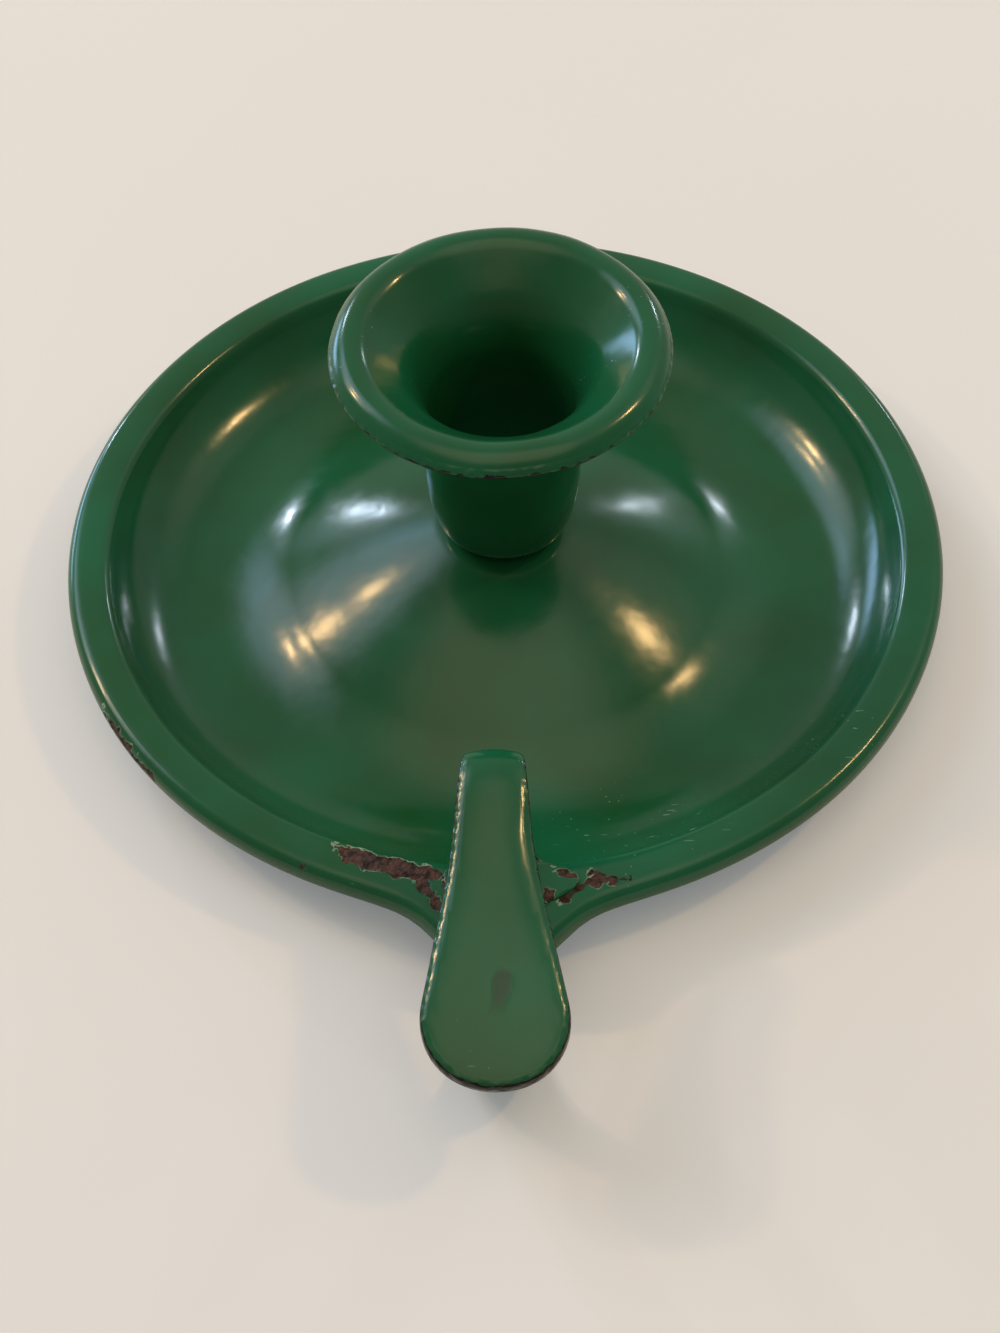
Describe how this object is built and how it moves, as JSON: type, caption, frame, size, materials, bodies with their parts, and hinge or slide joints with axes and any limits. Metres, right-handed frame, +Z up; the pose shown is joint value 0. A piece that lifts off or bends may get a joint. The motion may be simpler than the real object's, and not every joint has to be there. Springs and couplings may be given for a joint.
{
  "type": "chamberstick",
  "caption": "Enamelled chamberstick: shallow domed drip pan with a rolled rim, a flared candle socket in the middle, and a finger loop with a thumb rest at the side.",
  "frame": {"origin": "middle of the pan on the table: the point where the candle's axis meets the plane that the pan rests on", "axes": "+Z up along the candle's axis; -Y from the middle of the pan to the thumb rest and finger loop; X across, mirror symmetric"},
  "size_m": [0.145, 0.1795, 0.0548],
  "materials": {
    "green_enamel": "glossy green vitreous enamel on steel sheet, chipped to dark ground coat and rust at a few edges"
  },
  "bodies": {
    "root": {"pan": "green_enamel", "candle_socket": "green_enamel", "socket_rivet": "green_enamel", "finger_loop": "green_enamel", "thumb_rest": "green_enamel"}
  },
  "joints": []
}
